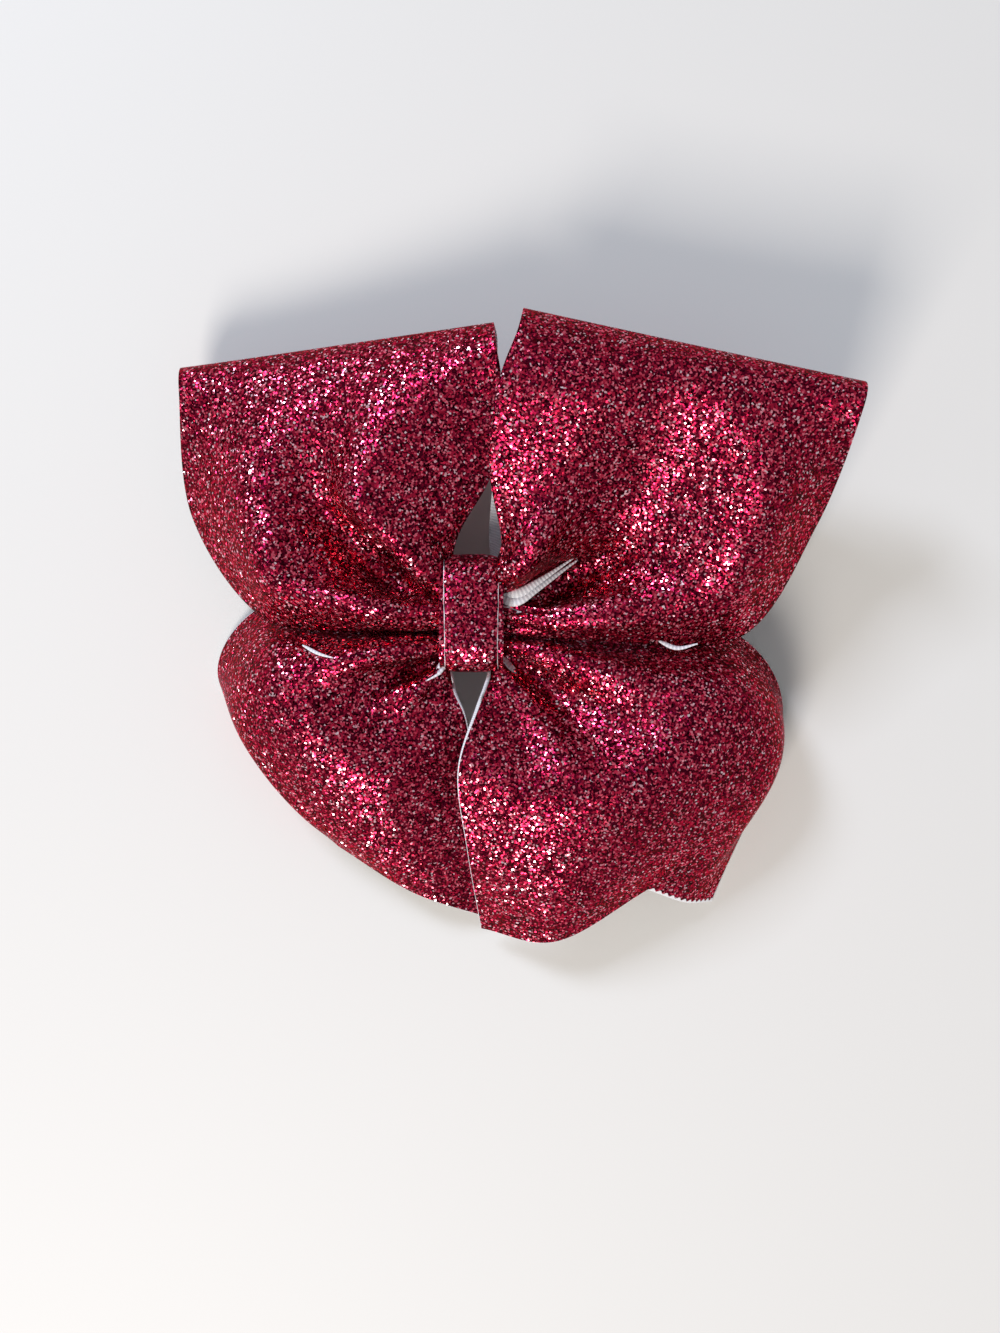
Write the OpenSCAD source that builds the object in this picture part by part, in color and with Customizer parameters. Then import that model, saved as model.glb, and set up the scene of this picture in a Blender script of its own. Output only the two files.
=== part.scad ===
// Cheer hair bow.
// One wide glitter ribbon is folded into two loops and two tails, pinched and
// tied in the middle, covered by a knot band, and glued to a French barrette.
// Millimetres. +X right, +Y towards the loops, +Z out of the front of the bow.
// The bow lies face up, and the origin is the middle of its underside.

/* [Ribbon] */
// Width of the glitter ribbon, which is also the length of each fold line
ribbon_w = 76.2; // [60:0.1:84]
// Thickness of the ribbon with its backing
ribbon_t = 0.6; // [0.4:0.05:1.0]
// Distance from the knot to the crest of the folds
loop_len = 61; // [50:1:74]
// Distance from the knot to the lowest tail corner
tail_len = 74; // [60:1:95]
// Depth of the dovetail notch in each tail end
notch_deep = 12; // [0:1:18]
// Radius of the rolled fold at the top of each loop
fold_r = 6.5; // [4:0.5:8]

/* [Knot] */
// Width of the knot band
knot_w = 12.5; // [8:0.5:18]
// Height of the knot, along the ribbon's pinch
knot_h = 27; // [22:0.5:34]
// Depth of the knot, front to back
knot_d = 18.5; // [15:0.5:23]
// Thickness of the knot band
band_t = 0.8; // [0.5:0.1:1.2]
// Thickness of the glue between the knot and the barrette
glue_t = 1; // [0.5:0.1:2]
// Width of the cable tie that holds the pinch
tie_w = 3.6; // [2.5:0.1:4.8]
// Thickness of the cable tie's strap
tie_t = 1.1; // [0.8:0.1:1.5]

/* [Barrette] */
// Length of the barrette
clip_len = 60; // [50:1:70]
// Width of the barrette's base plate
clip_w = 8.5; // [7:0.1:10.5]
// Height of the barrette, from the arm's underside to the top of the arched base
clip_h = 12.5; // [12:0.1:14]
// Thickness of the stamped sheet steel
plate_t = 0.8; // [0.6:0.1:1.0]
// How far the base plate's middle rises above its ends
base_rise = 2.6; // [1.5:0.1:3.5]
// Width of the swinging arm
arm_w = 5.6; // [4:0.1:6]
// Thickness of the spring steel tension bar
bar_t = 0.35; // [0.25:0.05:0.6]
// Diameter of the hinge pin
pin_d = 1.6; // [1.2:0.1:2]
// Radial running clearance of the arm on its pin
pin_clear = 0.05; // [0.02:0.01:0.1]
// Height of the raised catch end of the arm above its underside
catch_lift = 1.3; // [1:0.1:1.6]
// Width of the window in the arm that the catch prongs pass through
window_w = 3.6; // [3:0.1:4]
// Thickness of the catch's spring steel
prong_t = 0.45; // [0.3:0.05:0.6]
// Diameter of the sewing holes in the base plate
sew_d = 2; // [1.5:0.1:2.5]

/* [Hidden] */
$fn = 64;

glitter_red = [0.62, 0.05, 0.12];
deep_red = [0.5, 0.03, 0.09];
white_backing = [0.9, 0.9, 0.93];
glue_clear = [0.9, 0.86, 0.72];
steel = [0.72, 0.73, 0.75];
spring_steel = [0.55, 0.57, 0.6];

seat = 0.1;                              // paper-thin gap between glued pieces
knot_back = glue_t;                      // heights are above the base plate's top
neck_x = knot_w / 2 + 1.4;               // where loops and tails leave the knot
hy = knot_h / 2 - 2;                     // half height of the pinch in the band
k_loop = loop_len / 61;
k_tail = tail_len / 74;

// ---- smooth surfaces through a few guide curves ----

// point at t (0 to 1) on a smooth curve that passes through every point of p
function along(p, t) =
    let (n = len(p) - 1, i = min(floor(t * n), n - 1), f = t * n - i,
         a = i > 0 ? p[i - 1] : 2 * p[0] - p[1], b = p[i], c = p[i + 1],
         d = i < n - 1 ? p[i + 2] : 2 * p[n] - p[n - 1])
    0.5 * (2 * b + (c - a) * f + (2 * a - 5 * b + 4 * c - d) * f * f
           + (3 * b - a - 3 * c + d) * f * f * f);
// the same, with straight stretches between the points
function straight(p, t) =
    let (n = len(p) - 1, i = min(floor(t * n), n - 1), f = t * n - i)
    p[i] * (1 - f) + p[i + 1] * f;
// a row with a sharp corner at its middle guide, as a dovetail cut has
function notched(row, v) =
    v < 0.5 ? along([row[0], row[1], row[2]], 2 * v)
            : along([row[2], row[3], row[4]], 2 * v - 1);
// grid of points over the guides; a cut end gets its corner towards the cut
function cloth(guides, nu, nv, cut = false) =
    [for (i = [0 : nu]) let (t = i / nu, row = [for (g = guides) along(g, t)],
                             s = cut ? pow(t, 5) : 0)
        [for (j = [0 : nv]) along(row, j / nv) * (1 - s) + notched(row, j / nv) * s]];
function unit(v) = v / max(norm(v), 1e-6);
function normal_at(g, i, j) =
    let (m = len(g) - 1, n = len(g[0]) - 1)
    unit(cross(g[min(i + 1, m)][j] - g[max(i - 1, 0)][j],
               g[i][min(j + 1, n)] - g[i][max(j - 1, 0)]));
function pushed(g, d) =
    [for (i = [0 : len(g) - 1]) for (j = [0 : len(g[0]) - 1])
        g[i][j] + normal_at(g, i, j) * d];

// closed shell of thickness t around a grid of points
module sheet(g, t) {
    m = len(g);
    n = len(g[0]);
    top = 0;
    low = m * n;
    faces = concat(
        [for (i = [0 : m - 2]) for (j = [0 : n - 2]) for (k = [0, 1])
            let (a = i * n + j, b = a + 1, c = a + n, d = c + 1)
            k == 0 ? [a, b, d] : [a, d, c]],
        [for (i = [0 : m - 2]) for (j = [0 : n - 2]) for (k = [0, 1])
            let (a = low + i * n + j, b = a + 1, c = a + n, d = c + 1)
            k == 0 ? [a, d, b] : [a, c, d]],
        [for (i = [0 : m - 2]) for (e = [0, 1]) for (k = [0, 1])
            let (a = i * n + e * (n - 1), c = a + n, p = low + a, q = low + c)
            e == 0 ? (k == 0 ? [a, c, q] : [a, q, p])
                   : (k == 0 ? [a, q, c] : [a, p, q])],
        [for (j = [0 : n - 2]) for (e = [0, 1]) for (k = [0, 1])
            let (a = e * (m - 1) * n + j, b = a + 1, p = low + a, q = low + b)
            e == 0 ? (k == 0 ? [a, q, b] : [a, p, q])
                   : (k == 0 ? [a, b, q] : [a, q, p])]);
    polyhedron(concat(pushed(g, t / 2), pushed(g, -t / 2)), faces);
}

// ---- the ribbon's guides: knot centre at x = y = 0, heights above the base ----
// Each guide starts in one pleat of the pinch. side = -1 is left, 1 is right.
function neck(side, y, z) =
    [side * neck_x, y * hy / 11.5, knot_back + (z - 1) * knot_d / 18.5];

// A loop runs out over the front, rolls over the straight fold and comes back
// behind. front: three points on each of five guides, back: two points on each
// of three guides, fold: middle of the crest, its turn and its dip.
function loop_guides(side, neck_z, front, fold_mid, turn, dip, back) =
    let (dir = [side * cos(turn) * cos(dip), -sin(turn) * cos(dip), -sin(dip)],
         out = [side * sin(turn), cos(turn), 0],
         neck_y = [10.5, 6.8, 3.6, 0.6, -3.2], back_y = [8, 0, -8])
    [for (k = [0 : 4])
        let (v = k / 4,
             crest = [fold_mid.x * k_loop, fold_mid.y * k_loop, fold_mid.z]
                     + dir * (v - 0.5) * ribbon_w,
             mid = crest - out * fold_r,
             up = [0, 0, fold_r])
        concat([neck(side, neck_y[k], neck_z[k])],
               [for (p = front[k]) [p.x * k_loop, p.y * k_loop, p.z]],
               [mid + up, crest, mid - up],
               [for (r = [0, 1]) let (b = straight([for (q = back) q[r]], v))
                   [b.x * k_loop, b.y * k_loop, b.z]],
               [neck(side, straight(back_y, v), 3.2 + 0.5 * cos(720 * v))])];

left_loop = loop_guides(-1, [12, 16, 11, 15, 11],
    [[[-2.8, 18.5, 15], [5, 32, 20], [7, 48, 24]],
     [[-14, 14, 22], [-24, 29, 25], [-18, 46, 25]],
     [[-20, 9, 9], [-33, 22, 13], [-35, 42, 18]],
     [[-26, 3, 19], [-45, 9, 18], [-53, 33, 15]],
     [[-27, -4, 11], [-50, 0, 3], [-67.5, 24, -4]]],
    [-31.7, 61.3, 11], 5, 14,
    [[[1, 36, 6], [-4, 18, 4]], [[-26, 36, 0], [-16, 15, 3]],
     [[-52, 33, -10.5], [-32, 9, 2]]]);

right_loop = loop_guides(1, [13, 17, 11, 15, 11.5],
    [[[7, 16, 18], [4.2, 31, 27], [6, 48, 33]],
     [[14, 13, 22], [20, 28, 26], [28, 46, 33]],
     [[22, 8, 9], [38, 20, 16], [48, 40, 29]],
     [[29, 1, 18], [55, 5, 19], [66, 25, 28]],
     [[31, -6, 12], [63, -5, 5], [79, 20.5, 13]]],
    [48.8, 58.2, 26], 12.5, -1,
    [[[6, 40, 8], [4, 20, 4]], [[32, 36, 2], [18, 15, 3]],
     [[60, 28, -9.5], [34, 8, 2]]]);

// A tail runs from the knot to its dovetail end. sides: three points on each of
// five guides; end: the far corner, the notch's tip and the near corner, with a
// point between them where the cut edge curls.
function tail_guides(side, neck_z, sides, end) =
    let (neck_y = [-4.8, -7, -8.6, -10, -11.3],
         place = function (p) [p.x * k_tail, p.y * k_tail, p.z],
         deeper = -unit([end[2].x, end[2].y, 0]) * (notch_deep - 12))
    [for (k = [0 : 4])
        concat([neck(side, neck_y[k], neck_z[k])],
               [for (p = sides[k]) place(p)],
               [place(end[k]) + deeper * (1 - abs(k - 2) / 2)])];

left_tail = tail_guides(-1, [6.5, 13, 9, 14, 8],
    [[[-29, -1, 0.5], [-52, 2, -8.5], [-62, -17, -11.5]],
     [[-27, -10, 17], [-47, -13, 14], [-54, -30, 3]],
     [[-22, -19, 12], [-36, -29, 17], [-42, -44, 4]],
     [[-15, -21, 13], [-19, -38, 15], [-22, -53, 7]],
     [[-3.6, -18, 10], [-0.8, -27, 10.5], [0, -50, 4]]],
    [[-33, -42, -12], [-35, -49.5, -8], [-32, -55.3, -3], [-14, -66.5, -3], [5, -74, -10]]);

right_tail = tail_guides(1, [7, 13, 9, 14, 10],
    [[[34, -2, 0.5], [62, -3, -8], [75.5, -25, -9.5]],
     [[36, -14, 16], [61, -18, 15], [70, -38, 6]],
     [[26, -22, 13], [42, -37, 20], [47, -52, 11]],
     [[12, -24, 14], [15, -42, 21], [22, -63, 11]],
     [[1, -21.5, 17], [-3, -36, 19], [-1, -54, 13]]],
    [[58.5, -70, -12], [51, -69, -5], [41.5, -65, 1], [20, -77.5, 0], [2, -75.5, -6]]);

// ---- the whole bow is set down on the floor, centred over the origin ----
loop_l = cloth(left_loop, 36, 14);
loop_r = cloth(right_loop, 36, 14);
tail_l = cloth(left_tail, 20, 14, true);
tail_r = cloth(right_tail, 20, 14, true);
skin = concat(pushed(loop_l, ribbon_t / 2), pushed(loop_l, -ribbon_t / 2),
              pushed(loop_r, ribbon_t / 2), pushed(loop_r, -ribbon_t / 2),
              pushed(tail_l, ribbon_t / 2), pushed(tail_l, -ribbon_t / 2),
              pushed(tail_r, ribbon_t / 2), pushed(tail_r, -ribbon_t / 2));
low = [for (a = [0 : 2]) min([for (p = skin) p[a]])];
high = [for (a = [0 : 2]) max([for (p = skin) p[a]])];
shift = [-(low.x + high.x) / 2, -(low.y + high.y) / 2, max(clip_h, -low.z)];

module ribbon_loop_left() color(glitter_red) translate(shift) sheet(loop_l, ribbon_t);
module ribbon_loop_right() color(glitter_red) translate(shift) sheet(loop_r, ribbon_t);
module ribbon_tail_left() color(deep_red) translate(shift) sheet(tail_l, ribbon_t);
module ribbon_tail_right() color(deep_red) translate(shift) sheet(tail_r, ribbon_t);

// ---- the knot ----

// upright slice: a rounded outline in Y and Z, extruded along X
module slice(w, h, d, r, x = 0) {
    translate([x, 0, knot_back + knot_d / 2]) rotate([90, 0, 90])
        linear_extrude(w, center = true) rounded(h, d, r);
}
module rounded(h, d, r) {
    square([h - 2 * r, d], center = true);
    square([h, d - 2 * r], center = true);
    for (a = [-1, 1], b = [-1, 1])
        translate([a * (h / 2 - r), b * (d / 2 - r)]) circle(r);
}
in_h = knot_h - 2 * band_t;
in_d = knot_d - 2 * band_t;
waist = 2 * (tie_t + 0.4);

head = [5, 4.4, 3.4];                    // the cable tie's ratchet head
module tie_head(grow = 0) {
    translate([-head.x / 2 - grow, -head.y / 2 - grow, knot_back + band_t + 0.3 - grow])
        cube([head.x + 2 * grow, head.y + 2 * grow, head.z + 2 * grow]);
}

module ribbon_gathers() color(deep_red) translate(shift) difference() {
    union() {
        slice(tie_w + 0.4, in_h - waist - 0.4, in_d - waist - 0.4, 5);
        wing = neck_x - 0.4 - tie_w / 2;
        for (side = [-1, 1])
            slice(wing, in_h - 0.4, in_d - 0.4, 6, side * (tie_w + wing) / 2);
    }
    tie_head(0.15);
}

module knot_band() color(glitter_red) translate(shift) difference() {
    slice(knot_w, knot_h, knot_d, 6.5);
    slice(knot_w + 2, in_h, in_d, 6.5 - band_t);
}

// the strap runs in the waist of the pinch, and its head sits at the back
module cable_tie() color(white_backing) translate(shift) {
    difference() {
        slice(tie_w - 0.2, in_h - 0.6, in_d - 0.6, 5.8);
        slice(tie_w + 2, in_h - waist - 0.2, in_d - waist - 0.2, 5.1);
    }
    tie_head();
}

module glue_pad() color(glue_clear) translate(shift)
    translate([0, 0, seat]) linear_extrude(knot_back - 2 * seat)
        clipped_bar(24, clip_w - 1.5, 3);

// ---- the French barrette: hinge at the left end, catch at the right ----
half = clip_len / 2;
ear_gap = clip_w - 2 * plate_t;
knuckle_w = ear_gap - 0.5;
knuckle_r = pin_d / 2 + pin_clear + 0.6;
pin_x = -half + 2.2;
pin_z = -clip_h + knuckle_r;
arm_top = -clip_h + plate_t;
catch_x = half - 5.5;                    // middle of the catch
prong_w = 2.6;
saddle_z = base_top(catch_x) - plate_t - 2 * seat - prong_t;
prong_y = 1.2;                           // middle of each leg

// bar with its corners clipped round in small flats, seen from above
module clipped_bar(l, w, r) polygon([
    for (q = [0 : 3]) let (a = q == 0 || q == 3 ? 1 : -1, b = q < 2 ? 1 : -1)
        for (k = [0 : 3]) [a * (l / 2 - r) + r * cos(90 * q + 30 * k),
                           b * (w / 2 - r) + r * sin(90 * q + 30 * k)]]);
// side view of a strip bent to an arc over a chord, sagging by h below it
function bend_r(chord, h) = chord * chord / (8 * h) + h / 2;
module bent_strip(chord, h, t) {
    r = bend_r(chord, h);
    intersection() {
        translate([chord / 2, r - h]) difference() {
            circle(r + t, $fn = 360);
            circle(r, $fn = 360);
        }
        translate([0, -h - t - 1]) square([chord, h + t + 1]);
    }
}
// a side view in X and Z given width along Y
module wide(w) rotate([90, 0, 0]) linear_extrude(w, center = true) children();
// height of the arched base plate's top at x
function base_top(x) = let (r = bend_r(clip_len, base_rise)) sqrt(r * r - x * x) - r;

module barrette_base() color(steel) translate(shift) difference() {
    union() {
        intersection() {
            wide(clip_w) intersection() {
                r = bend_r(clip_len, base_rise);
                translate([0, -r]) difference() {
                    circle(r, $fn = 360);
                    circle(r - plate_t, $fn = 360);
                }
                translate([-half, -10]) square([clip_len, 11]);
            }
            translate([0, 0, -10]) linear_extrude(12) clipped_bar(clip_len, clip_w, 2.5);
        }
        for (side = [-1, 1]) translate([0, side * (clip_w - plate_t) / 2, 0])
            wide(plate_t) {
                polygon([[pin_x - 1.2, base_top(pin_x) - plate_t / 2],
                         [pin_x + 3.4, base_top(pin_x + 3.4) - plate_t / 2],
                         [pin_x + 1.4, pin_z], [pin_x - 1.4, pin_z]]);
                translate([pin_x, pin_z]) circle(1.4);
            }
    }
    translate([pin_x, 0, pin_z]) rotate([90, 0, 0])
        cylinder(h = clip_w + 2, d = pin_d + 0.04, center = true);
    for (x = [-0.6, 0.6]) translate([x * half, 0, -5]) cylinder(h = 8, d = sew_d);
    translate([catch_x, 0, -6]) cylinder(h = 8, d = 1.64);
}

module hinge_pin() color(steel) translate(shift)
    translate([pin_x, 0, pin_z]) rotate([90, 0, 0]) {
        cylinder(h = clip_w + 0.9, d = pin_d, center = true);
        for (s = [-1, 1]) translate([0, 0, s * (clip_w / 2 + 0.27)])
            cylinder(h = 0.5, d = pin_d + 0.7, center = true);
    }

// flat arm, rolled round the pin at one end and raised at the catch
module barrette_arm() color(steel) translate(shift) difference() {
    union() {
        intersection() {
            wide(arm_w) polygon([
                [pin_x, -clip_h], [catch_x - 6, -clip_h],
                [catch_x - 3.6, -clip_h + catch_lift], [half - 1, -clip_h + catch_lift],
                [half - 1, arm_top + catch_lift], [catch_x - 4, arm_top + catch_lift],
                [catch_x - 6.4, arm_top], [pin_x, arm_top]]);
            translate([0, 0, -clip_h - 1]) linear_extrude(5)
                translate([(pin_x - 4 + half - 1) / 2, 0])
                    clipped_bar(half - 1 - pin_x + 4, arm_w, 1.5);
        }
        translate([pin_x, 0, pin_z]) rotate([90, 0, 0])
            cylinder(h = knuckle_w, r = knuckle_r, center = true);
    }
    translate([pin_x, 0, pin_z]) rotate([90, 0, 0])
        cylinder(h = knuckle_w + 2, r = pin_d / 2 + pin_clear, center = true);
    translate([catch_x, 0, -clip_h + 1]) cube([prong_w + 1.2, window_w, 6], center = true);
}

// spring steel strip that bows towards the arm and presses on the hair
bar_chord = catch_x - 2.6 - (pin_x + 2.6);
module tension_bar() color(spring_steel) translate(shift) intersection() {
    translate([pin_x + 2.6, 0, base_top(pin_x + 2.6) - plate_t - 0.25])
        rotate([0, 3.2, 0]) wide(clip_w - 2 * plate_t - 1.6) bent_strip(bar_chord, 2, bar_t);
    translate([pin_x + 2.6 + bar_chord / 2, 0, -9]) linear_extrude(9)
        clipped_bar(bar_chord + 1, clip_w - 2 * plate_t - 1.6, 2);
}

module catch_saddle() color(spring_steel) translate(shift) difference() {
    translate([catch_x, 0, saddle_z + prong_t / 2])
        cube([prong_w, 2 * prong_y + prong_t, prong_t], center = true);
    translate([catch_x, 0, saddle_z - 1]) cylinder(h = 3, d = 1.64);
}

module catch_rivet() color(steel) translate(shift) translate([catch_x, 0, 0]) {
    translate([0, 0, saddle_z - 0.5]) cylinder(h = base_top(catch_x) - saddle_z + 0.8, d = 1.6);
    translate([0, 0, saddle_z - 0.55]) cylinder(h = 0.45, d = 1.8);
    translate([0, 0, base_top(catch_x) + 0.2]) cylinder(h = 0.4, d = 2.6);
}

// one sprung leg of the catch, side is 1 towards the loops and -1 towards the tails
module prong(side) color(spring_steel) translate(shift)
    translate([catch_x, 0, 0]) rotate([90, 0, 90])
        linear_extrude(prong_w, center = true) scale([side, 1]) polygon([
            [prong_y - prong_t / 2, saddle_z - seat],
            [prong_y - prong_t / 2, -clip_h + 0.7], [prong_y - 0.05, -clip_h + 0.1],
            [window_w / 2 - 0.15, -clip_h + 0.5], [prong_y + prong_t / 2, -clip_h + 1],
            [prong_y + prong_t / 2, saddle_z - seat]]);
module catch_prong_upper() prong(1);
module catch_prong_lower() prong(-1);

ribbon_loop_left();
ribbon_loop_right();
ribbon_tail_left();
ribbon_tail_right();
ribbon_gathers();
knot_band();
cable_tie();
glue_pad();
barrette_base();
barrette_arm();
tension_bar();
hinge_pin();
catch_saddle();
catch_rivet();
catch_prong_upper();
catch_prong_lower();
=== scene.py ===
# %% [markdown]
# # A cheer hair bow
# A large bow made from one strip of wide glitter ribbon. The strip is folded into
# two loops and two tails, pinched in the middle, tied, covered by a narrow knot
# band and glued to a steel barrette. The barrette comes ready made from the CAD
# frame. The ribbon is soft, so it is modelled here, in metres, in the same frame.

# %% Load the frame
import math

import bpy
import numpy as np
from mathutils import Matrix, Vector


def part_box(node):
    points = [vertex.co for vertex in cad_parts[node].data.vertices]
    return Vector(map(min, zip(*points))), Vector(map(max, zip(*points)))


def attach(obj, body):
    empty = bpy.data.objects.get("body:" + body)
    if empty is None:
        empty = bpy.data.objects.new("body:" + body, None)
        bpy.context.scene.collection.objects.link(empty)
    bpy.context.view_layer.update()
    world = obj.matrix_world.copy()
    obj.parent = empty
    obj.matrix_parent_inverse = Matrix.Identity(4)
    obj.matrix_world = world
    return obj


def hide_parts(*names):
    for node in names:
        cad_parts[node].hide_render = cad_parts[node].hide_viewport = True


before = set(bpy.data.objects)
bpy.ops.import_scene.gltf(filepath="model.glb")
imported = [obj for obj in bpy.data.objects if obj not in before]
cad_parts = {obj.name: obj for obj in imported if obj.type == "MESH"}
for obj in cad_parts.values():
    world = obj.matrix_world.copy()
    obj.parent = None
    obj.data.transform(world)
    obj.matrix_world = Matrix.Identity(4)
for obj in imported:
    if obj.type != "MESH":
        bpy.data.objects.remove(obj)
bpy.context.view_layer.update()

# %% [markdown]
# Every place starts from the knot, because all the ribbon meets there. The CAD
# knot band gives its middle, and the barrette's base plate gives the height that
# the ribbon's guide points are counted from.

# %% Find the knot
MM = 0.001
band_low, band_high = [np.array(c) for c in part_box("knot_band")]
base_low, base_high = [np.array(c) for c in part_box("barrette_base")]
knot = np.array([(band_low[0] + band_high[0]) / 2,
                 (band_low[1] + band_high[1]) / 2, base_high[2]])
knot_w, knot_h, knot_d = band_high - band_low
print("knot at", np.round(knot, 4), "size", np.round(band_high - band_low, 4))

# %% [markdown]
# ## The ribbon's path
# Real ribbon is a strip of one width. Where it is pinched it makes pleats, and
# where it is free it opens to its full width. The shape could come from a cloth
# simulation, but a stiff glitter ribbon holds the folds that its maker sets by
# hand, so guide curves that run along the strip give those folds directly. A
# smooth surface is then drawn through the guides.

# %% Ribbon sizes
ribbon_w = 76.2 * MM
ribbon_t = 0.5 * MM
fold_r = 6.5 * MM


def unit(v):
    return v / np.maximum(np.linalg.norm(v, axis=-1, keepdims=True), 1e-9)


print("ribbon", ribbon_w, "wide,", ribbon_t, "thick")


# %% A smooth curve through guide points
def along(points, t):
    """Points at each t (0 to 1) on a smooth curve through all the guide points."""
    p = np.asarray(points, float)
    n = len(p) - 1
    p = np.concatenate([[2 * p[0] - p[1]], p, [2 * p[n] - p[n - 1]]])
    i = np.minimum((t * n).astype(int), n - 1)
    f = (t * n - i).reshape((-1,) + (1,) * (p.ndim - 1))
    a, b, c, d = p[i], p[i + 1], p[i + 2], p[i + 3]
    return 0.5 * (2 * b + (c - a) * f + (2 * a - 5 * b + 4 * c - d) * f ** 2
                  + (3 * b - a - 3 * c + d) * f ** 3)


def straight(points, t):
    """The same, with straight stretches between the points."""
    p = np.asarray(points, float)
    n = len(p) - 1
    i = np.minimum((t * n).astype(int), n - 1)
    f = (t * n - i).reshape((-1,) + (1,) * (p.ndim - 1))
    return p[i] * (1 - f) + p[i + 1] * f


print("midway on a bend:", along([[0, 0], [1, 0], [1, 1]], np.array([0.5]))[0])


# %% A grid of points over the guides
def cloth_grid(guides, nu, nv, cut=False):
    """Rows run across the ribbon; a cut end gets a sharp corner at its notch."""
    g = np.array([along(guide, np.linspace(0, 1, nu)) for guide in guides])
    v = np.linspace(0, 1, nv)
    smooth = along(g, v).transpose(1, 0, 2)
    if not cut:
        return smooth
    left, right = v[v < 0.5] * 2, v[v >= 0.5] * 2 - 1
    notched = np.concatenate([along(g[:3], left), along(g[2:], right)])
    share = np.linspace(0, 1, nu)[:, None, None] ** 5
    return smooth * (1 - share) + notched.transpose(1, 0, 2) * share


print("cloth_grid ready")

# %% [markdown]
# The guides are counted in millimetres from the knot. side is -1 for the left
# and 1 for the right. Inside the knot the pleats go up and down like a fan, so
# neighbouring guides start high and low in turn.

# %% Loops and tails from their guides
neck_x = knot_w / MM / 2 - 1.2


def start(side, y, z):
    return [side * neck_x, y, z]


def loop_guides(side, neck_z, front, fold_mid, turn, dip, back):
    """A loop goes out over the front, rolls over its fold and comes back behind."""
    turn, dip = math.radians(turn), math.radians(dip)
    fold_dir = np.array([side * math.cos(turn) * math.cos(dip),
                         -math.sin(turn) * math.cos(dip), -math.sin(dip)])
    out = np.array([side * math.sin(turn), math.cos(turn), 0])
    up = np.array([0, 0, fold_r / MM])
    neck_y, back_y = [10.5, 6.8, 3.6, 0.6, -3.2], [[8], [0], [-8]]
    guides = []
    for k in range(5):
        v = k / 4
        crest = np.array(fold_mid) + fold_dir * (v - 0.5) * ribbon_w / MM
        mid = crest - out * fold_r / MM
        rows = [straight([q[r] for q in back], np.array([v]))[0] for r in (0, 1)]
        end = start(side, straight(back_y, np.array([v]))[0, 0],
                    3.2 + 0.5 * math.cos(4 * math.pi * v))
        guides.append([start(side, neck_y[k], neck_z[k]), *front[k],
                       mid + up, crest, mid - up, *rows, end])
    return guides


def tail_guides(side, neck_z, sides, end):
    """A tail goes from the knot to its dovetail end."""
    neck_y = [-4.8, -7, -8.6, -10, -11.3]
    return [[start(side, neck_y[k], neck_z[k]), *sides[k], end[k]] for k in range(5)]


print("necks start", neck_x, "mm from the knot's middle")

# %% The left loop and tail
left_loop = loop_guides(-1, [12, 16, 11, 15, 11],
    [[[-2.8, 18.5, 15], [5, 32, 20], [7, 48, 24]],
     [[-14, 14, 22], [-24, 29, 25], [-18, 46, 25]],
     [[-20, 9, 9], [-33, 22, 13], [-35, 42, 18]],
     [[-26, 3, 19], [-45, 9, 18], [-53, 33, 15]],
     [[-27, -4, 11], [-50, 0, 3], [-67.5, 24, -4]]],
    [-31.7, 61.3, 11], 5, 14,
    [[[1, 36, 6], [-4, 18, 4]], [[-26, 36, 0], [-16, 15, 3]],
     [[-52, 33, -10.5], [-32, 9, 2]]])
left_tail = tail_guides(-1, [6.5, 13, 9, 14, 8],
    [[[-29, -1, 0.5], [-52, 2, -8.5], [-62, -17, -11.5]],
     [[-27, -10, 17], [-47, -13, 14], [-54, -30, 3]],
     [[-22, -19, 12], [-36, -29, 17], [-42, -44, 4]],
     [[-15, -21, 13], [-19, -38, 15], [-22, -53, 7]],
     [[-3.6, -18, 10], [-0.8, -27, 10.5], [0, -50, 4]]],
    [[-33, -42, -12], [-35, -49.5, -8], [-32, -55.3, -3], [-14, -66.5, -3], [5, -74, -10]])
print("left loop and tail set out")

# %% The right loop and tail
right_loop = loop_guides(1, [13, 17, 11, 15, 11.5],
    [[[7, 16, 18], [4.2, 31, 27], [6, 48, 33]],
     [[14, 13, 22], [20, 28, 26], [28, 46, 33]],
     [[22, 8, 9], [38, 20, 16], [48, 40, 29]],
     [[29, 1, 18], [55, 5, 19], [66, 25, 28]],
     [[31, -6, 12], [63, -5, 5], [79, 20.5, 13]]],
    [48.8, 58.2, 26], 12.5, -1,
    [[[6, 40, 8], [4, 20, 4]], [[32, 36, 2], [18, 15, 3]],
     [[60, 28, -9.5], [34, 8, 2]]])
right_tail = tail_guides(1, [7, 13, 9, 14, 10],
    [[[34, -2, 0.5], [62, -3, -8], [75.5, -25, -9.5]],
     [[36, -14, 16], [61, -18, 15], [70, -38, 6]],
     [[26, -22, 13], [42, -37, 20], [47, -52, 11]],
     [[12, -24, 14], [15, -42, 21], [22, -63, 11]],
     [[1, -21.5, 17], [-3, -36, 19], [-1, -54, 13]]],
    [[58.5, -70, -12], [51, -69, -5], [41.5, -65, 1], [20, -77.5, 0], [2, -75.5, -6]])
print("right loop and tail set out")


# %% [markdown]
# The pinch makes many small pleats that fade as the ribbon opens out. They are
# added as a ripple across the ribbon, pushed along the surface's own normal.

# %% Ripples that fade away from the knot
def normals(grid):
    du = np.gradient(grid, axis=0)
    dv = np.gradient(grid, axis=1)
    return unit(np.cross(du, dv))


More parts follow.
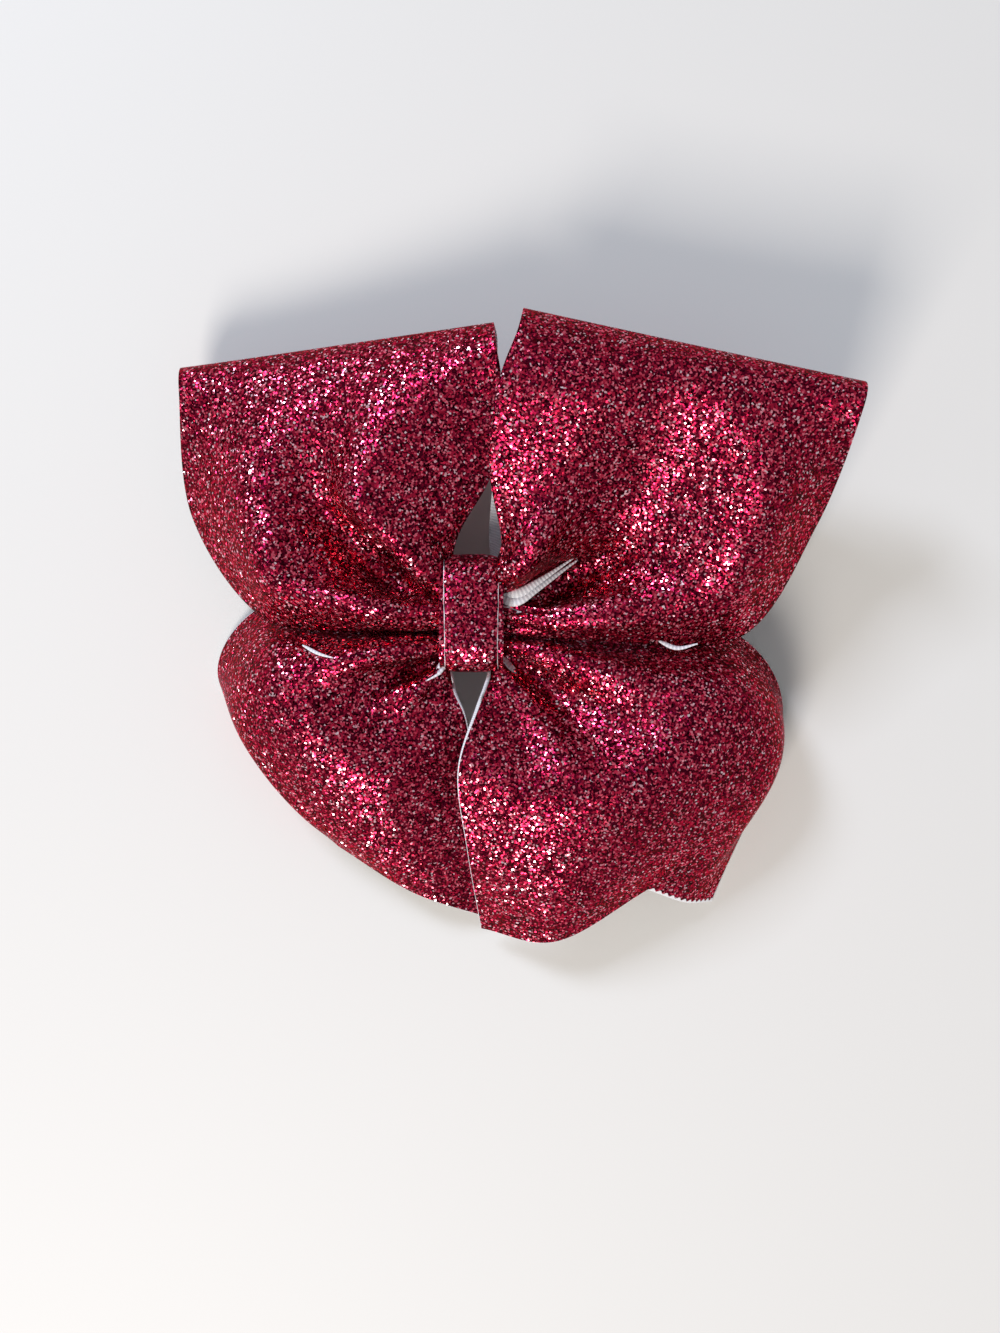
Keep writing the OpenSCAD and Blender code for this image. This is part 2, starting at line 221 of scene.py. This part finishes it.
def pleated(grid, count, depth, reach, both_ends=False):
    """Small pleats of a given depth near the knot, gone after reach."""
    mid = grid[:, grid.shape[1] // 2]
    steps = np.linalg.norm(np.diff(mid, axis=0), axis=1)
    run = np.concatenate([[0], np.cumsum(steps)])
    fade = np.exp(-(run / reach) ** 1.5)
    if both_ends:
        fade = fade + np.exp(-((run[-1] - run) / reach) ** 1.5)
    v = np.linspace(0, 1, grid.shape[1])
    wave = np.sin(2 * math.pi * count * v + 1.3 * np.sin(5 * v))
    wave = wave * np.sin(math.pi * np.clip(v, 0.02, 0.98)) ** 0.3
    return grid + normals(grid) * (fade[:, None] * wave[None, :] * depth)[..., None]


print("ripple at the knot ready")

# %% [markdown]
# The bigger folds near the knot are pressed in by hand on the real bow. Each one
# here is a path over the ribbon with a height and a width: a positive height
# raises a sharp ridge, and a negative one presses a pocket beside it. Only the
# layer that faces up is moved, so the back of a loop stays as it was.


# %% Press a fold into the front
def pressed(grid, folds, front_share, side_up):
    """Push the front layer up or down near each path, given in mm from the knot."""
    share = np.linspace(0, 1, grid.shape[0])[:, None]
    front = np.clip((front_share - share) / 0.08, 0, 1)
    push = np.zeros(grid.shape[:2])
    for path, height, width in folds:
        t = np.linspace(0, 1, 25)
        marks = along(np.array(path, float) * MM + knot[:2], t)
        away = np.linalg.norm(grid[:, :, None, :2] - marks, axis=-1)
        ends = np.sin(math.pi * (0.15 + 0.8 * t)) ** 0.7
        push += height * np.max(ends * np.exp(-(away / width) ** 2), axis=-1)
    return grid + normals(grid) * (push * front * side_up)[..., None]


print("pressed folds ready")

# %% The folds beside the knot
left_loop_folds = [([(-8, 5), (-16, 13), (-28, 27)], 3.2 * MM, 3.0 * MM),
                   ([(-14, 6), (-21, 13), (-30, 20)], -4.4 * MM, 4.0 * MM),
                   ([(-33, 17), (-44, 17), (-46, 8)], 1.6 * MM, 5 * MM),
                   ([(-8, -1), (-20, 0), (-34, 2)], 2.4 * MM, 2.8 * MM)]
right_loop_folds = [([(8, 7), (13, 14), (21, 25)], 2.6 * MM, 3.6 * MM),
                    ([(9, 1), (22, 7.5), (35, 14)], -3.4 * MM, 3.4 * MM),
                    ([(36, 22), (52, 16), (60, 8)], 1.5 * MM, 6 * MM),
                    ([(8, -3), (22, -2.5), (40, -2.5)], 1.6 * MM, 2.8 * MM)]
left_tail_folds = [([(-8, -7.5), (-20, -8.5), (-34, -11)], 2.0 * MM, 2.6 * MM),
                   ([(-8, -11.5), (-15, -13.5), (-25, -16)], -2.6 * MM, 2.8 * MM),
                   ([(-9, -15), (-17, -19), (-27, -22)], 1.8 * MM, 3.2 * MM)]
right_tail_folds = [([(9, -7.5), (22, -11), (38, -15)], 2.0 * MM, 3.2 * MM),
                    ([(8, -9.5), (15, -15), (24, -22)], -3.0 * MM, 2.8 * MM),
                    ([(9, -17), (16, -26), (24, -34)], 1.6 * MM, 4 * MM)]
print("folds on", 4, "stretches of ribbon")

# %% [markdown]
# The strip has two faces: glitter outside, white woven backing inside. Both faces
# and the thin cut edge between them are one closed mesh, with one material for
# the glitter and one for the backing and the edge.

# %% Where the glitter has flaked off
def narrowed(grid, near=None, far=None, end=None):
    """Draw the outermost strip of faces in to the width of the bare cut edge."""
    grid = grid.copy()
    if near is not None:
        grid[:, 1] = grid[:, 0] + unit(grid[:, 1] - grid[:, 0]) * near[:, None]
    if far is not None:
        grid[:, -2] = grid[:, -1] + unit(grid[:, -2] - grid[:, -1]) * far[:, None]
    if end is not None:
        grid[-2] = grid[-1] + unit(grid[-2] - grid[-1]) * end[:, None]
    return grid


print("bare edges ready")


# %% Turn a grid into ribbon
def ribbon_piece(name, grid, glitter_up, materials, bare=()):
    """A closed ribbon mesh with a UV in metres along and across the strip.

    bare names the edges where the glitter has flaked off: near, far or end."""
    n = normals(grid)
    outer = grid + n * ribbon_t / 2 * (1 if glitter_up else -1)
    inner = grid - n * ribbon_t / 2 * (1 if glitter_up else -1)
    nu, nv = grid.shape[:2]
    verts = np.concatenate([outer.reshape(-1, 3), inner.reshape(-1, 3)])
    index = np.arange(nu * nv).reshape(nu, nv)
    a, b, c, d = index[:-1, :-1], index[1:, :-1], index[1:, 1:], index[:-1, 1:]
    front = np.stack([a, b, c, d], -1).reshape(-1, 4)
    if not glitter_up:
        front = front[:, ::-1]
    back = front[:, ::-1] + nu * nv
    loop = np.concatenate([index[:, 0], index[-1, 1:], index[-2::-1, -1], index[0, -2:0:-1]])
    nxt = np.roll(loop, -1)
    rim = np.stack([loop, loop + nu * nv, nxt + nu * nv, nxt], -1)
    if not glitter_up:
        rim = rim[:, ::-1]
    faces = np.concatenate([front, back, rim])
    mesh = bpy.data.meshes.new(name)
    mesh.from_pydata(verts.tolist(), [], faces.tolist())
    for m in materials:
        mesh.materials.append(m)
    slot = np.ones(len(faces), int)
    slot[:len(front)] = 0
    shown = slot[:len(front)].reshape(nu - 1, nv - 1)
    if not bare:
        slot[2 * len(front):] = 0
    for edge, strip in (("near", np.s_[:, 0]), ("far", np.s_[:, -1]), ("end", np.s_[-1, :])):
        if edge in bare:
            shown[strip] = 1
    mesh.polygons.foreach_set("material_index", slot)
    mesh.polygons.foreach_set("use_smooth", (np.arange(len(faces)) < 2 * len(front)))
    run = np.concatenate([[0], np.cumsum(np.linalg.norm(
        np.diff(grid[:, nv // 2], axis=0), axis=1))])
    uv = np.stack(np.broadcast_arrays(run[:, None], np.linspace(0, ribbon_w, nv)[None]), -1)
    uv = np.tile(uv.reshape(-1, 2), (2, 1))
    layer = mesh.uv_layers.new(name="strip")
    layer.data.foreach_set("uv", uv[faces.reshape(-1)].reshape(-1))
    obj = bpy.data.objects.new(name, mesh)
    bpy.context.scene.collection.objects.link(obj)
    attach(obj, "bow")
    print(name, "faces", len(faces), "length", round(run[-1], 4))
    return obj, run[-1]


# %% [markdown]
# ## The glitter
# Glitter is a layer of tiny flat flakes, each lying at its own small tilt. A bump
# map could make it rough, but it wouldn't sparkle. A Voronoi pattern cuts the
# surface into flake-sized cells, and each cell gets its own tilt, so some flakes
# catch a lamp and their neighbours stay dark. Each cell also gets a base colour
# from a ramp: the glitter's own reds in the middle, near black at the low end as
# painted shade, and pink-white at the top as a painted sparkle.

# %% Helpers for materials
def new_material(name):
    mat = bpy.data.materials.new(name)
    mat.use_nodes = True
    nodes, links = mat.node_tree.nodes, mat.node_tree.links
    shader = nodes["Principled BSDF"]
    return mat, nodes, links, shader


def ramp_node(nodes, stops):
    ramp = nodes.new("ShaderNodeValToRGB")
    while len(ramp.color_ramp.elements) < len(stops):
        ramp.color_ramp.elements.new(0.5)
    for element, (pos, color) in zip(ramp.color_ramp.elements, stops):
        element.position = pos
        element.color = (*color, 1)
    return ramp


print("material helpers ready")


# %% Red glitter
def red_glitter(name, flake=0.42 * MM):
    """Most flakes lie nearly flat; a few stand up and catch another lamp."""
    mat, nodes, links, shader = new_material(name)
    place = nodes.new("ShaderNodeTexCoord")
    cells = nodes.new("ShaderNodeTexVoronoi")
    cells.inputs["Scale"].default_value = 1 / flake
    links.new(place.outputs["Object"], cells.inputs["Vector"])
    lean = nodes.new("ShaderNodeVectorMath")
    lean.operation = "SUBTRACT"
    lean.inputs[1].default_value = (0.5, 0.5, 0.5)
    links.new(cells.outputs["Color"], lean.inputs[0])
    pick = nodes.new("ShaderNodeSeparateColor")
    links.new(cells.outputs["Color"], pick.inputs[0])
    tilt = ramp_node(nodes, [(0.0, (0.4,) * 3), (0.7, (0.8,) * 3), (1.0, (2.2,) * 3)])
    links.new(pick.outputs[0], tilt.inputs[0])
    leaning = nodes.new("ShaderNodeVectorMath")
    leaning.operation = "MULTIPLY"
    links.new(lean.outputs[0], leaning.inputs[0])
    links.new(tilt.outputs[0], leaning.inputs[1])
    surface = nodes.new("ShaderNodeNewGeometry")
    add = nodes.new("ShaderNodeVectorMath")
    add.operation = "ADD"
    links.new(surface.outputs["Normal"], add.inputs[0])
    links.new(leaning.outputs[0], add.inputs[1])
    flat = nodes.new("ShaderNodeVectorMath")
    flat.operation = "NORMALIZE"
    links.new(add.outputs[0], flat.inputs[0])
    links.new(flat.outputs[0], shader.inputs["Normal"])
    # Painted light: the flake colour runs from near black, painted shade for flakes turned
    # from the light, through the glitter's own reds, to pink-white, a painted sparkle.
    tone_and_painted_light = ramp_node(nodes, [(0.0, (0.022, 0.001, 0.006)), (0.42, (0.13, 0.003, 0.019)),
                              (0.78, (0.62, 0.020, 0.065)), (0.94, (0.95, 0.19, 0.27)),
                              (1.0, (1.0, 0.78, 0.84))])
    links.new(pick.outputs[2], tone_and_painted_light.inputs[0])
    links.new(tone_and_painted_light.outputs[0], shader.inputs["Base Color"])
    shader.inputs["Metallic"].default_value = 0.85
    shader.inputs["Roughness"].default_value = 0.2
    shader.inputs["Specular IOR Level"].default_value = 0.25
    shader.inputs["Specular Tint"].default_value = (0.55, 0.06, 0.14, 1)
    return mat


glitter = red_glitter("glitter_face")
print("glitter made")


# %% [markdown]
# The back of the strip is plain white woven ribbon with fine ribs across it. A
# wave along the strip's own length gives the ribs, so they follow every fold. The
# same wave paints the grooves between the ribs a darker grey-blue as painted shade.

# %% White backing
def white_backing(name, rib=0.9 * MM):
    mat, nodes, links, shader = new_material(name)
    place = nodes.new("ShaderNodeUVMap")
    place.uv_map = "strip"
    ribs = nodes.new("ShaderNodeTexWave")
    ribs.bands_direction = "X"
    ribs.inputs["Scale"].default_value = 1 / rib * 0.314
    ribs.inputs["Distortion"].default_value = 0.3
    links.new(place.outputs[0], ribs.inputs["Vector"])
    bump = nodes.new("ShaderNodeBump")
    bump.inputs["Strength"].default_value = 0.5
    bump.inputs["Distance"].default_value = 0.15 * MM
    links.new(ribs.outputs["Fac"], bump.inputs["Height"])
    links.new(bump.outputs[0], shader.inputs["Normal"])
    # Painted shade: the rib wave also colours the grooves between the ribs a darker
    # grey-blue, while the rib tops keep the backing's white.
    tone_and_painted_light = ramp_node(nodes, [(0.0, (0.62, 0.63, 0.68)), (1.0, (0.82, 0.83, 0.87))])
    links.new(ribs.outputs["Fac"], tone_and_painted_light.inputs[0])
    links.new(tone_and_painted_light.outputs[0], shader.inputs["Base Color"])
    shader.inputs["Roughness"].default_value = 0.75
    shader.inputs["Sheen Weight"].default_value = 0.2
    return mat


backing = white_backing("woven_backing")
faces_of_ribbon = [glitter, backing]
print("backing made")

# %% Cut the loops and tails
fine = 2
strips = [("loop_left", "ribbon_loop_left", left_loop, left_loop_folds, True),
          ("loop_right", "ribbon_loop_right", right_loop, right_loop_folds, False),
          ("tail_left", "ribbon_tail_left", left_tail, left_tail_folds, True),
          ("tail_right", "ribbon_tail_right", right_tail, right_tail_folds, False)]
shapes, lengths, pieces = {}, {}, {}
for name, node, guides, folds, glitter_up in strips:
    is_tail = name.startswith("tail")
    rows, cols = (60 if is_tail else 110) * fine + 1, 60 * fine + 1
    grid = cloth_grid(guides, rows, cols, cut=is_tail) * MM + knot
    grid = pleated(grid, 7, 0.6 * MM, 22 * MM, both_ends=not is_tail)
    grid = pressed(grid, folds, 2 if is_tail else 0.42, 1 if glitter_up else -1)
    run = np.linspace(0, 1, rows)
    hair_line = np.full(rows, 0.22 * MM)
    by_the_knot = (0.1 + 0.85 * np.exp(-(run / 0.38) ** 2)) * MM
    across = np.linspace(0, 1, cols)
    teeth = 0.55 * (across < 0.5) * (1 + 0.7 * np.sin(150 * across))
    ragged = (0.12 + (teeth if name == "tail_right" else 0)) * np.ones(cols) * MM
    if is_tail:
        grid = narrowed(grid, hair_line, by_the_knot, ragged)
    shapes[name] = grid
    pieces[name], lengths[name] = ribbon_piece(
        name, grid, glitter_up, faces_of_ribbon, ("near", "far", "end") if is_tail else ())
    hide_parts(node)

# %% [markdown]
# ## Edges that turn up
# Where a pleat is squeezed, the strip's cut edge curls over and shows the white
# back for a few millimetres. Each curl is a narrow leaf of the same ribbon that
# lies just above the glitter and dips into it at both ends.


# %% Curl a leaf of the edge
def curled_edge(name, path, width, tilt):
    """A leaf along the path, in mm from the knot, with its white back upwards."""
    t = np.linspace(0, 1, 24 * fine + 1)
    line = along(np.array(path, float), t) * MM + knot
    heading = unit(np.gradient(line[:, :2], axis=0))
    aside = np.stack([heading[:, 1], -heading[:, 0]], -1)
    ends = np.sin(math.pi * (0.02 + 0.96 * t ** 0.8)) * (1.1 - 0.6 * t)
    s = np.linspace(-0.5, 0.5, 9)
    grid = np.repeat(line[:, None], len(s), axis=1)
    grid[..., :2] += aside[:, None] * (s[None] * ends[:, None] * width)[..., None]
    grid[..., 2] += ends[:, None] * ((0.25 - s ** 2) * 0.8 + s * tilt)[None] * width
    piece, _ = ribbon_piece(name, grid, False, faces_of_ribbon[::-1])
    return piece


curls = {"loop_left": [], "loop_right": [
    curled_edge("curl_by_knot", [(5.4, 4.2, 13.6), (9.8, 2.6, 14.4), (15, 5.6, 13.6),
                                 (24.5, 12.4, 9.6)], 2.5 * MM, 0.3),
    curled_edge("curl_behind", [(5.6, 5.2, 13.8), (10.4, 4.5, 14.6), (15, 7.0, 14.0),
                                (23.5, 12.8, 10.6)], 2.2 * MM, 0.1),
    curled_edge("curl_low", [(43, -6.4, 11.4), (47.3, -8.0, 11), (52, -7.0, 11)],
                0.9 * MM, 0.3)],
    "tail_left": [
    curled_edge("curl_on_tail", [(-38.4, -7.4, 14.4), (-34.5, -9.3, 17.4),
                                 (-31, -10.3, 18.8)], 0.6 * MM, 0.2),
    curled_edge("curl_under_knot", [(-5.9, -11.2, 13.4), (-7.2, -13.6, 14.4),
                                    (-10.2, -15.4, 14.8)], 0.5 * MM, 0.2)],
    "tail_right": []}
for name, piece in pieces.items():
    is_tail = name.startswith("tail")
print("curls", sum(len(c) for c in curls.values()))

# %% [markdown]
# ## The knot band
# A short strip of the same ribbon, cut narrow, goes round the pinch with its cut
# edges showing white. It is one closed ring with a slightly crowned front.

# %% Wrap the knot band
def ring_outline(h, d, r, n):
    """Points round a rounded upright outline, evenly spaced, in Y and Z."""
    pts = []
    for cy, cz, a0 in [(1, 1, 0), (-1, 1, 90), (-1, -1, 180), (1, -1, 270)]:
        for a in np.linspace(a0, a0 + 90, 16):
            pts.append([cy * (h / 2 - r) + r * math.cos(math.radians(a)),
                        cz * (d / 2 - r) + r * math.sin(math.radians(a))])
    pts = np.array(pts + pts[:1])
    run = np.concatenate([[0], np.cumsum(np.linalg.norm(np.diff(pts, axis=0), axis=1))])
    at = np.linspace(0, run[-1], n)
    return np.stack([np.interp(at, run, pts[:, i]) for i in (0, 1)], -1), run[-1]


def wrap_band(name, width, h, d, r):
    outline, girth = ring_outline(h, d, r, 161)
    x = np.linspace(-0.5, 0.5, 25)
    centre = band_low * 0.5 + band_high * 0.5
    grid = np.zeros((161, 25, 3))
    wobble = 0.25 * MM * np.sin(np.linspace(0, 14, 161))
    grid[..., 0] = centre[0] + x[None] * (width + wobble[:, None])
    crown = (1 - (2 * np.abs(x)) ** 4 * 0.05)[None]
    grid[..., 1] = centre[1] + outline[:, :1] * crown
    grid[..., 2] = centre[2] + outline[:, 1:] * crown
    frayed = (0.12 + 0.06 * np.sin(np.linspace(0, 90, 161))) * MM
    grid = narrowed(grid, frayed, frayed)
    return ribbon_piece(name, grid, True, faces_of_ribbon, ("near", "far")), girth


(band, _), girth = wrap_band("knot_wrap", knot_w - 0.4 * MM, knot_h - ribbon_t,
                             knot_d - ribbon_t, 6.2 * MM)
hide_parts("knot_band")

# %% [markdown]
# ## The parts that come from the frame
# The steel, the tie, the glue and the pinched middle keep their CAD shapes and
# only get finishes. Nickel plate is smooth metal with faint rub marks.


# %% Metal, nylon and glue
def rubbed_metal(name, color, roughness, rub):
    mat, nodes, links, shader = new_material(name)
    place = nodes.new("ShaderNodeTexCoord")
    noise = nodes.new("ShaderNodeTexNoise")
    noise.inputs["Scale"].default_value = 900
    noise.inputs["Detail"].default_value = 4
    links.new(place.outputs["Object"], noise.inputs["Vector"])
    marks = nodes.new("ShaderNodeMapRange")
    marks.inputs["To Min"].default_value = roughness - rub
    marks.inputs["To Max"].default_value = roughness + rub
    links.new(noise.outputs["Fac"], marks.inputs["Value"])
    links.new(marks.outputs[0], shader.inputs["Roughness"])
    shader.inputs["Base Color"].default_value = (*color, 1)
    shader.inputs["Metallic"].default_value = 1
    return mat


def moulded(name, color, roughness, clear=0.0):
    mat, nodes, links, shader = new_material(name)
    place = nodes.new("ShaderNodeTexCoord")
    noise = nodes.new("ShaderNodeTexNoise")
    noise.inputs["Scale"].default_value = 600
    links.new(place.outputs["Object"], noise.inputs["Vector"])
    bump = nodes.new("ShaderNodeBump")
    bump.inputs["Strength"].default_value = 0.25
    bump.inputs["Distance"].default_value = 0.2 * MM
    links.new(noise.outputs["Fac"], bump.inputs["Height"])
    links.new(bump.outputs[0], shader.inputs["Normal"])
    shader.inputs["Base Color"].default_value = (*color, 1)
    shader.inputs["Roughness"].default_value = roughness
    shader.inputs["Transmission Weight"].default_value = clear
    return mat


plated = rubbed_metal("nickel_plate", (0.72, 0.72, 0.74), 0.24, 0.07)
spring = rubbed_metal("spring_steel", (0.52, 0.54, 0.58), 0.32, 0.1)
nylon = moulded("nylon", (0.82, 0.82, 0.80), 0.45)
glue = moulded("hot_glue", (0.82, 0.76, 0.6), 0.25, 0.4)
finishes = {"barrette_base": plated, "barrette_arm": plated, "hinge_pin": plated,
            "catch_rivet": plated, "tension_bar": spring, "catch_saddle": spring,
            "catch_prong_upper": spring, "catch_prong_lower": spring,
            "cable_tie": nylon, "glue_pad": glue, "ribbon_gathers": glitter}
for node, mat in finishes.items():
    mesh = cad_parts[node].data
    mesh.materials.clear()
    mesh.materials.append(mat)
print("finished", len(finishes), "frame parts")

# %% [markdown]
# ## Floor, light and camera
# The bow lies face up on a pale floor and is seen from straight above. The floor
# is solid from above and clear from below, so the barrette can be looked at too.
# A large lamp on the loops' side is a little cool, and one on the tails' side is
# warm.


# %% Floor
floor_z = -0.05 * MM


def pale_floor():
    mat, nodes, links, shader = new_material("pale_floor")
    shader.inputs["Base Color"].default_value = (0.70, 0.69, 0.67, 1)
    shader.inputs["Roughness"].default_value = 0.6
    side = nodes.new("ShaderNodeNewGeometry")
    clear = nodes.new("ShaderNodeBsdfTransparent")
    pick = nodes.new("ShaderNodeMixShader")
    links.new(side.outputs["Backfacing"], pick.inputs[0])
    links.new(shader.outputs[0], pick.inputs[1])
    links.new(clear.outputs[0], pick.inputs[2])
    links.new(pick.outputs[0], nodes["Material Output"].inputs["Surface"])
    mesh = bpy.data.meshes.new("floor")
    s = 3.0
    corners = [(-s, -s, floor_z), (s, -s, floor_z), (s, s, floor_z), (-s, s, floor_z)]
    mesh.from_pydata(corners, [], [(0, 1, 2, 3)])
    mesh.materials.append(mat)
    obj = bpy.data.objects.new("floor", mesh)
    bpy.context.scene.collection.objects.link(obj)
    return obj


floor = pale_floor()
print("floor just under the arm, at", floor_z)


# %% Lamps and sky
def lamp(name, place, power, size, color):
    data = bpy.data.lights.new(name, "AREA")
    data.energy, data.size, data.color = power, size, color
    obj = bpy.data.objects.new(name, data)
    obj.location = place
    aim = -np.array(place)

    obj.rotation_euler = Vector(aim.tolist()).to_track_quat("-Z", "Y").to_euler()
    bpy.context.scene.collection.objects.link(obj)
    return obj


lamp("window", (-0.8, 0.95, 1.1), 17, 0.45, (0.76, 0.84, 1.0))
lamp("room", (-0.45, -0.95, 1.0), 17, 0.5, (1.0, 0.93, 0.86))
world = bpy.data.worlds.new("soft_room")
bpy.context.scene.world = world
world.use_nodes = True
world.node_tree.nodes["Background"].inputs[0].default_value = (0.95, 0.97, 1.0, 1)
world.node_tree.nodes["Background"].inputs[1].default_value = 0.36
bpy.context.scene.view_settings.view_transform = "Standard"
print("two lamps and a soft sky")

# %% Camera
camera_data = bpy.data.cameras.new("camera")
camera_data.lens = 38.3
camera_data.sensor_width = 36
camera = bpy.data.objects.new("camera", camera_data)
camera.location = (knot[0] + 6.5 * MM, knot[1] - 12.2 * MM, 0.350)
bpy.context.scene.collection.objects.link(camera)
bpy.context.scene.camera = camera
print("camera looks straight down from", tuple(camera.location))
